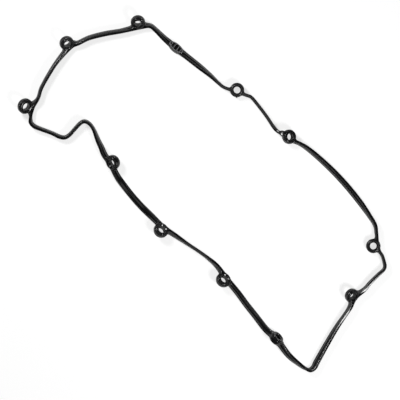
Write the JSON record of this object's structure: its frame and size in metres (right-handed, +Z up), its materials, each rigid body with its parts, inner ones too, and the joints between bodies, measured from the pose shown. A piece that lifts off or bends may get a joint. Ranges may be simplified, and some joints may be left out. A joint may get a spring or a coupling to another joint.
{
  "type": "valve cover gasket",
  "caption": "Closed loop of moulded black rubber strip with bolt eyelets, lying slack, that seals an engine's valve cover to its cylinder head.",
  "frame": {"origin": "on the ground, below the middle of the gasket's box", "axes": "+Z up from the ground that the gasket lies on, +X along its length towards the wider end, +Y across it"},
  "size_m": [0.454, 0.2022, 0.0167],
  "materials": {
    "rubber": "satin moulded black rubber"
  },
  "bodies": {
    "root": {"gasket": "rubber"}
  },
  "joints": []
}
